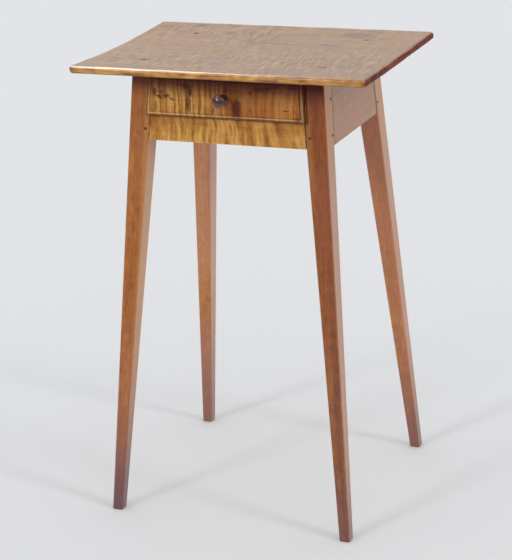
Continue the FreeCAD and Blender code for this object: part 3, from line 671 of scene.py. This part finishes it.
def knobPaint(piece, tone, colour):
    low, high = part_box("drawer_knob")
    behind = (piece.y - low.y).smooth(*knob["neckFrom"]) * knob["neckShare"]
    return behind.over(colour, shade(*knob["neck"]))


dress("drawer_knob", wood("drawer_knob", knob, "yxz", 56, paint=knobPaint))
print("drawer dressed")


# Nails

nails = {
    "iron": (58, 54, 52), "rust": (92, 58, 40), "rustPerMetre": (900, 900, 900),
    "roughness": 0.55, "rustRoughness": 0.3,         # the second is added where it rusts
}


def nailIron(node):
    material, start = newMaterial("iron_" + node)
    place = start.node("ShaderNodeTexCoord", out="Object")
    rust = place.noise(nails["rustPerMetre"], 2, 3).smooth(0.4, 0.65)
    surface = start.node("ShaderNodeBsdfPrincipled", None, {
        "Base Color": rust.over(shade(*nails["iron"]), shade(*nails["rust"])),
        "Roughness": nails["roughness"] + rust * nails["rustRoughness"], "Metallic": 1 - rust})
    start.node("ShaderNodeOutputMaterial", None, {"Surface": surface})
    return material


for node in ("runner_nails", "drawer_bottom_nails"):
    dress(node, nailIron(node))
print("nails dressed")


# Floor, light and camera

studio = {
    "floorReach": 14, "floorColour": (235, 237, 240),
    "floorDark": (-1.6, -1.8),                       # polish sees the floor dark from here to the front
    "worldSeen": 0.79, "worldTone": (251, 253, 255), # behind the floor, in the floor's own tone
    "worldLight": 0.75,
    "roomBright": 0.76, "roomDark": 0.04,            # what polish mirrors of the room
    "softbox": 8,                                    # and of the box overhead
    "lamps": [                                       # name, from, strength, degrees
        ("key", (-0.45, -0.90, 0.42), 0.6, 12),
        ("fill", (0.97, -0.24, 0.50), 0.6, 12),
    ],
}

view = {
    "place": (1.02248, -2.54411, 1.27360),
    "yaw": 0.38747, "pitch": -0.32832, "roll": -0.03915,
    "focalPixels": 1830.7, "pictureHeight": 560, "sensor": 36,
}


def makeFloor():
    reach = studio["floorReach"]
    corners = [(x * reach, y * reach, 0) for x, y in ((-1, -1), (1, -1), (1, 1), (-1, 1))]
    mesh = bpy.data.meshes.new("floor")
    mesh.from_pydata(corners, [], [(0, 1, 2, 3)])
    floor = bpy.data.objects.new("floor", mesh)
    bpy.context.scene.collection.objects.link(floor)
    material, start = newMaterial("floor_paper")
    mirrored = start.node("ShaderNodeLightPath", out="Is Glossy Ray")
    x, y, z = start.node("ShaderNodeTexCoord", out="Object").parts()
    dark = mirrored * y.smooth(*studio["floorDark"])
    surface = start.node("ShaderNodeBsdfPrincipled", None, {
        "Base Color": dark.over(shade(*studio["floorColour"]), (studio["roomDark"],) * 3),
        "Roughness": 0.9, "Specular IOR Level": 0.1})
    start.node("ShaderNodeOutputMaterial", None, {"Surface": surface})
    mesh.materials.append(material)


def makeWorld():
    world = bpy.data.worlds.new("studio")
    bpy.context.scene.world = world
    world.use_nodes = True
    world.node_tree.nodes.clear()
    start = Wire(world.node_tree)
    seen = start.node("ShaderNodeLightPath", out="Is Camera Ray")
    mirrored = start.node("ShaderNodeLightPath", out="Is Glossy Ray")
    x, y, z = start.node("ShaderNodeTexCoord", out="Generated").parts()
    overhead = x.smooth(-0.3, -0.42) * z.smooth(0.66, 0.8) * studio["softbox"]
    bright = y.smooth(-0.5, 0.2).orMore(z.smooth(0.2, 0.5))
    mirror = studio["roomDark"] + bright * (studio["roomBright"] - studio["roomDark"]) + overhead
    light = (1 - seen.orMore(mirrored)) * studio["worldLight"]
    glow = start.node("ShaderNodeBackground", None, {
        "Color": seen.over((1, 1, 1), shade(*studio["worldTone"])),
        "Strength": seen * studio["worldSeen"] + mirrored * mirror + light})
    start.node("ShaderNodeOutputWorld", None, {"Surface": glow})


def makeLamps():
    for name, place, strength, degrees in studio["lamps"]:
        lamp = bpy.data.lights.new(name, "SUN")
        lamp.energy = strength
        lamp.angle = math.radians(degrees)
        holder = bpy.data.objects.new(name, lamp)
        holder.location = Vector(place) * 3
        holder.rotation_euler = (-Vector(place)).to_track_quat("-Z", "Y").to_euler()
        bpy.context.scene.collection.objects.link(holder)


def makeCamera():
    yaw, pitch, roll = view["yaw"], view["pitch"], view["roll"]
    ahead = Vector((-math.sin(yaw) * math.cos(pitch), math.cos(yaw) * math.cos(pitch), math.sin(pitch)))
    level = Vector((math.cos(yaw), math.sin(yaw), 0))
    upright = level.cross(ahead)
    right = level * math.cos(roll) + upright * math.sin(roll)
    up = upright * math.cos(roll) - level * math.sin(roll)
    turn = Matrix((right, up, -ahead)).transposed().to_4x4()
    lens = bpy.data.cameras.new("camera")
    lens.sensor_width = view["sensor"]
    lens.lens = view["focalPixels"] * view["sensor"] / view["pictureHeight"]
    camera = bpy.data.objects.new("camera", lens)
    camera.matrix_world = Matrix.Translation(view["place"]) @ turn
    bpy.context.scene.collection.objects.link(camera)
    bpy.context.scene.camera = camera


makeFloor()
makeWorld()
makeLamps()
makeCamera()
bpy.context.scene.view_settings.view_transform = "Standard"
print("stage set")
